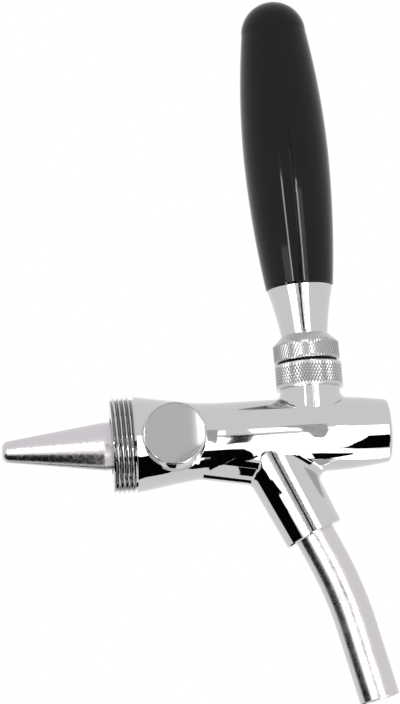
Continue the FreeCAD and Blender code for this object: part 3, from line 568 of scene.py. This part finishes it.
def diamond_groove(p):
    """Every second point is pressed in, and the next row's points lie between."""
    row = round((p.z - collar_low) / row_height)
    if row in (0, diamond_rows):
        return collar_rim_share
    column = round(math.atan2(p.y, p.x - neck_place) / (math.pi / diamonds))
    return 1.0 if (row + column) % 2 else 0.0


knurl(sleeve, neck_place, diamond_depth, diamond_groove)
all_over(sleeve, bpy.ops.mesh.quads_convert_to_tris, quad_method="SHORTEST_DIAGONAL")
join_pieces(collar, sleeve)
for rim in (collar_low, collar_high):
    bridge_open_edges(collar, lambda p: abs(p.z - rim) < 2 * micron)
all_over(collar, bpy.ops.mesh.normals_make_consistent, inside=False)
shade_as_made(collar, "collar_nut", angle=20)

# painted shade: the colour that the grooves of the collar's and the ferrule's knurls are
# darkened to
knurl_groove_shade = (0.26, 0.26, 0.26)
knurl_chrome = new_finish("knurled_chrome", (0.70, 0.70, 0.705), metallic=1.0, smooth=0.20,
                          worn=0.34, patch=300.0)
paint_groove_shade(knurl_chrome, Matrix.Translation((-neck_place, 0, 0)), collar_radius,
               diamond_depth, collar_low, collar_high, knurl_groove_shade)
dress(collar, knurl_chrome)
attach(collar, "root")
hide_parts("collar_nut")

# --- The ferrule: chromed brass, screwed on the lever's stem. Its lower ring is knurled with
# slanting ridges, it is polished above that, and a black dust washer is let in below, whose
# black edge is partly painted shade for the gap above the collar.
pivot = Vector((neck_place, 0, 0.0155))
lean = math.radians(1.62)
upright = Matrix.Translation(pivot) @ Matrix.Rotation(-lean, 4, "Y")
ring_radius = 0.00995
ring_top = 0.0121
shoulder_end = 0.0150
ridges = 66
ring_rows = 11
ridge_depth = 0.00024
ring_rim_share = 0.4

ferrule = copy_of_node("ferrule", "ferrule_knurled")
ferrule.data.transform(upright.inverted())
take_off_faces(ferrule, lambda c, n: abs(n.z) < 0.1 and c.z < ring_top
               and abs(math.hypot(c.x, c.y) - ring_radius) < 60 * micron)
rim_heights = sorted({round(p.co.z, 6) for p in ferrule.data.vertices
                      if abs(math.hypot(p.co.x, p.co.y) - ring_radius) < 10 * micron})
ring_low, ring_high = rim_heights[0], rim_heights[-1]
sleeve = turned_sleeve("ferrule_knurl", ring_radius, ring_low, ring_high,
                       columns=4 * ridges, rows=ring_rows)
row_height = (ring_high - ring_low) / ring_rows


def slant_groove(p):
    """Each ridge is four columns wide, and moves on by one column with each row."""
    row = round((p.z - ring_low) / row_height)
    if row in (0, ring_rows):
        return ring_rim_share
    column = round(math.atan2(p.y, p.x) / (math.pi / (2 * ridges)))
    return (0.0, 0.5, 1.0, 0.5)[(column - row) % 4]


knurl(sleeve, 0.0, ridge_depth, slant_groove)
join_pieces(ferrule, sleeve)
for rim in (ring_low, ring_high):
    bridge_open_edges(ferrule, lambda p: abs(p.z - rim) < 2 * micron)
ferrule.data.transform(upright)
all_over(ferrule, bpy.ops.mesh.normals_make_consistent, inside=False)
shade_as_made(ferrule, "ferrule", angle=20)

ferrule_chrome = new_finish("ferrule_chrome", chrome_colour, metallic=1.0, smooth=0.015,
                            worn=0.05, patch=140.0, wave=70.0, height=0.00004)
# painted shade: the knurled ring's grooves are darkened like the collar's
on_axis = paint_groove_shade(ferrule_chrome, upright.inverted(), ring_radius, ridge_depth,
                         ring_low, ring_high, knurl_groove_shade)
# the ridges run out over the concave shoulder, where they are too shallow to be modelled, so
# there they are relief at the same slant, which fades out going up
tree = ferrule_chrome.node_tree
apart = tree.nodes.new("ShaderNodeSeparateXYZ")
link(tree, on_axis, apart.inputs[0])
turn = worked_out(tree, "ARCTAN2", apart.outputs["Y"], apart.outputs["X"])
climbed = worked_out(tree, "SUBTRACT", apart.outputs["Z"], ring_low)
slant = worked_out(tree, "MULTIPLY", climbed, 1 / (4 * row_height))
ridge_count = worked_out(tree, "MULTIPLY", turn, ridges / (2 * math.pi))
phase = worked_out(tree, "FRACT", worked_out(tree, "SUBTRACT", ridge_count, slant))
ridge = worked_out(tree, "ABSOLUTE", worked_out(
    tree, "SUBTRACT", worked_out(tree, "MULTIPLY", phase, 2), 1))
fade = tree.nodes.new("ShaderNodeMapRange")
fade.inputs["From Min"].default_value = ring_high
fade.inputs["From Max"].default_value = shoulder_end
fade.inputs["To Min"].default_value = 1
fade.inputs["To Max"].default_value = 0
link(tree, apart.outputs["Z"], fade.inputs["Value"])
above_ring = worked_out(tree, "MULTIPLY", fade.outputs["Result"],
                        worked_out(tree, "GREATER_THAN", apart.outputs["Z"], ring_high))
add_relief(tree, worked_out(tree, "MULTIPLY", ridge, above_ring), distance=0.0002)
dress(ferrule, ferrule_chrome)

# the knurling tool leaves the ring and its shoulder duller than the polished stem
ring_chrome = ferrule_chrome.copy()
ring_chrome.name = "ferrule_ring_chrome"
ring_marks = next(step for step in ring_chrome.node_tree.nodes
                  if step.type == "GROUP" and step.node_tree == polish)
ring_marks.inputs["Smooth"].default_value = 0.20
ring_marks.inputs["Worn"].default_value = 0.34
ferrule.data.materials.append(ring_chrome)
below_ring = 0.0002
inside_ring = 0.0008
inside_shoulder = 0.0028
for face in ferrule.data.polygons:
    place = upright.inverted() @ face.center
    inward = inside_shoulder if place.z > ring_high else inside_ring
    if (ring_low - below_ring < place.z < shoulder_end
            and math.hypot(place.x, place.y) > ring_radius - inward):
        face.material_index = len(ferrule.data.materials) - 1
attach(ferrule, "lever")
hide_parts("ferrule")
# the dust washer is black rubber, and its black edge also stands for the shade in the gap
# between the collar and the ferrule: painted shade
dust_rubber = new_finish("dust_rubber", (0.012, 0.012, 0.012), metallic=0.0, smooth=0.5,
                         worn=0.7, patch=500.0)
dress(node["dust_washer"], dust_rubber)

# --- The grip: phenolic resin, moulded and polished black, on a brass insert that turns onto
# a steel stud in the ferrule.
black_resin = new_finish("black_resin", (0.002, 0.002, 0.002), metallic=0.0, smooth=0.04,
                         worn=0.09, patch=90.0, wave=60.0, height=0.00003)
shader = black_resin.node_tree.nodes["Principled BSDF"]
shader.inputs["Specular IOR Level"].default_value = 0.22
dress(node["grip"], black_resin)
dress(node["grip_insert"], turned_brass)
dress(node["grip_stud"], plain_steel)

# --- The studio: a white room with a pale floor, six soft boxes and two tubes, and the black,
# grey and pale cards that chrome is photographed with. The camera sees the room and the floor
# alone. The lamps and cards show only in the metal, and shade it.
white = (1, 1, 1, 1)
room_light = (0.45, 0.45, 0.45, 1)


def mixed_by(tree, share, first, second):
    """Two shaders mixed: none of the second where the share is 0, and all of it at 1."""
    mixed = tree.nodes.new("ShaderNodeMixShader")
    link(tree, share, mixed.inputs["Fac"])
    link(tree, first, mixed.inputs[1])
    link(tree, second, mixed.inputs[2])
    return mixed.outputs[0]


world = bpy.data.worlds.new("white_room")
bpy.context.scene.world = world
world.use_nodes = True
tree = world.node_tree
tree.nodes.clear()
shown = tree.nodes.new("ShaderNodeOutputWorld")
path = tree.nodes.new("ShaderNodeLightPath")
seen = worked_out(tree, "MAXIMUM", worked_out(tree, "MAXIMUM", path.outputs["Is Camera Ray"],
                                              path.outputs["Is Glossy Ray"]),
                  path.outputs["Is Transmission Ray"])
unseen_walls = tree.nodes.new("ShaderNodeBackground")
unseen_walls.inputs["Color"].default_value = room_light
seen_walls = tree.nodes.new("ShaderNodeBackground")
seen_walls.inputs["Color"].default_value = white
link(tree, mixed_by(tree, seen, unseen_walls.outputs[0], seen_walls.outputs[0]),
     shown.inputs["Surface"])

floor_height = -0.30
floor_side = 6
nothing_selected()
bpy.ops.mesh.primitive_grid_add(x_subdivisions=12, y_subdivisions=12, size=floor_side,
                                location=(0.03, 0, floor_height))
floor = bpy.context.object
floor.name = "pale_floor"
floor_paint = new_finish("pale_floor_paint", (0.93, 0.93, 0.93), metallic=0.0, smooth=0.75,
                         worn=0.85, patch=4.0)
dress(floor, floor_paint)
tree = floor_paint.node_tree
path = tree.nodes.new("ShaderNodeLightPath")
mirrored = worked_out(tree, "MAXIMUM", path.outputs["Is Glossy Ray"],
                      path.outputs["Is Transmission Ray"])
glow = tree.nodes.new("ShaderNodeEmission")
glow.inputs["Color"].default_value = white
painted = tree.nodes["Principled BSDF"].outputs[0]
link(tree, mixed_by(tree, mirrored, painted, glow.outputs[0]),
     tree.nodes["Material Output"].inputs["Surface"])


def card_paint(name, shade):
    """Matt paper of one grey, which gives back no highlight."""
    paper = bpy.data.materials.new(name)
    paper.use_nodes = True
    shader = paper.node_tree.nodes["Principled BSDF"]
    shader.inputs["Base Color"].default_value = (shade, shade, shade, 1)
    shader.inputs["Roughness"].default_value = 0.9
    shader.inputs["Specular IOR Level"].default_value = 0
    return paper


black_paper = card_paint("black_paper", 0.004)
grey_paper = card_paint("grey_paper", 0.07)
middle_paper = card_paint("middle_paper", 0.55)
pale_paper = card_paint("pale_paper", 0.9)
middle = Vector((0.05, 0, -0.005))


def direction(turn, rise):
    """The way out from the tap's near side, turned to the right and raised."""
    return Vector((math.sin(turn) * math.cos(rise), -math.cos(turn) * math.cos(rise),
                   math.sin(rise)))


def bent_card(name, turns, rises, away, paper, climb=0, round_end=False):
    """A card bent round the tap at one distance, from turn to turn and rise to rise in degrees.
    Its right-hand edge is higher than the left by the climb. A round end narrows to its foot,
    but not quite to a point."""
    not_quite = 0.999
    nothing_selected()
    bpy.ops.mesh.primitive_grid_add(x_subdivisions=12, y_subdivisions=12, size=1)
    card = bpy.context.object
    card.name = name
    for point in card.data.vertices:
        if round_end:
            point.co.x *= math.sqrt(1 - not_quite * (0.5 - point.co.y) ** 2)
        turn = math.radians(turns[0] + (turns[1] - turns[0]) * (point.co.x + 0.5))
        rise = math.radians(rises[0] + (rises[1] - rises[0]) * (point.co.y + 0.5)
                            + climb * (point.co.x + 0.5))
        point.co = middle + away * direction(turn, rise)
    card.data.update()
    card.data.materials.append(paper)
    card.visible_camera = False


bent_card("flag_round_lens", (-6.6, -0.6), (-12, 1.8), 0.35, grey_paper)
bent_card("pale_wall", (-14, 10), (-13.5, -6), 0.83, pale_paper, climb=16)
bent_card("pale_tongue", (6.3, 9.8), (-19, 24), 0.78, pale_paper, round_end=True)
bent_card("flag_beside_lens", (3.3, 4.7), (-24, 3), 0.78, grey_paper)
bent_card("middle_strip", (-9, 2.2), (-34, -13), 0.80, middle_paper)
bent_card("flag_left_low", (-108, -52), (-60, -13), 0.33, black_paper)
bent_card("flag_right_low", (25, 62), (-58, -19), 0.34, black_paper)
bent_card("flag_behind", (-176, -150), (-60, -36), 0.32, black_paper)


def flat_card(name, height, corners, paper):
    """A small level card just below the tap, with its corners in millimetres."""
    nothing_selected()
    bpy.ops.mesh.primitive_plane_add(size=1)
    card = bpy.context.object
    card.name = name
    for point, (x, y) in zip(card.data.vertices, corners):
        point.co = (x / 1000, y / 1000, height / 1000)
    card.data.update()
    card.data.materials.append(paper)
    card.visible_camera = False


flat_card("flag_under_flank", -30, ((8, -46), (22.5, -46), (8, -1), (22.5, -11)), black_paper)
flat_card("flag_under_barrel", -60, ((22, -80), (47, -80), (22, -38), (47, -38)), black_paper)
flat_card("flag_under_root", -100, ((28, -60), (49, -60), (28, 6), (49, 6)), black_paper)
flat_card("flag_under_front", -100, ((70, -48), (95, -28), (70, 0), (95, -18)), black_paper)
flat_card("flag_under_cone", -50, ((-60, -56), (-8, -56), (-60, 14), (-8, 14)), black_paper)


def soft_box(name, turns, rises, away, brightness):
    """A lamp behind a white cloth, as many times as bright as white paper, facing the tap."""
    towards = direction(math.radians(sum(turns) / 2), math.radians(sum(rises) / 2))
    lamp = bpy.data.lights.new(name, "AREA")
    lamp.shape = "RECTANGLE"
    lamp.size = 2 * away * math.tan(math.radians(turns[1] - turns[0]) / 2)
    lamp.size_y = 2 * away * math.tan(math.radians(rises[1] - rises[0]) / 2)
    lamp.energy = brightness * math.pi * lamp.size * lamp.size_y
    box = bpy.data.objects.new(name, lamp)
    box.location = middle + towards * away
    box.rotation_mode = "QUATERNION"
    box.rotation_quaternion = towards.to_track_quat("Z", "Y")
    box.visible_camera = False
    bpy.context.scene.collection.objects.link(box)


soft_box("left_box", (-50, -24), (-30, 4), 0.85, 1.8)
soft_box("right_box", (8, 28), (-48, 13), 0.85, 1.8)
soft_box("middle_box", (2, 8), (-48, -3), 0.85, 1.8)
soft_box("upper_box", (4.8, 8.2), (-6, 20), 0.845, 1.8)
soft_box("lower_box", (3, 25), (-50, -20), 0.38, 1.8)
soft_box("under_box", (25, 110), (-80, -60), 0.28, 1.9)
soft_box("left_tube", (-26, -22.5), (-30, 14), 0.84, 18.0)
soft_box("right_tube", (12, 15.5), (-34, 14), 0.84, 16.0)

# --- The camera: a long lens a little below the tap and to its left, looking slightly up and
# tilted to one side. Its place and focal length are fitted to points of the photograph.
aim = Vector((0.025, 0, 0.025))
side_turn, rise_turn, roll = math.radians(-4.3), math.radians(-10), math.radians(3.898)
camera_back, camera_right, camera_up = 0.8611, 0.003212, 0.002218
sensor_height, focal_pixels, picture_height = 36, 2861, 704

back = direction(side_turn, rise_turn)
across = Vector((math.cos(side_turn), math.sin(side_turn), 0))
above = back.cross(across)
right = math.cos(roll) * across - math.sin(roll) * above
up = math.sin(roll) * across + math.cos(roll) * above
place = aim + back * camera_back + right * camera_right + up * camera_up
lens = bpy.data.cameras.new("camera")
lens.sensor_fit = "VERTICAL"
lens.sensor_height = sensor_height
lens.lens = sensor_height * focal_pixels / picture_height
lens.clip_start, lens.clip_end = 0.01, 20
camera = bpy.data.objects.new("camera", lens)
camera.matrix_world = Matrix(((right.x, up.x, back.x, place.x),
                              (right.y, up.y, back.y, place.y),
                              (right.z, up.z, back.z, place.z), (0, 0, 0, 1)))
bpy.context.scene.collection.objects.link(camera)
bpy.context.scene.camera = camera
bpy.context.scene.view_settings.view_transform = "Standard"
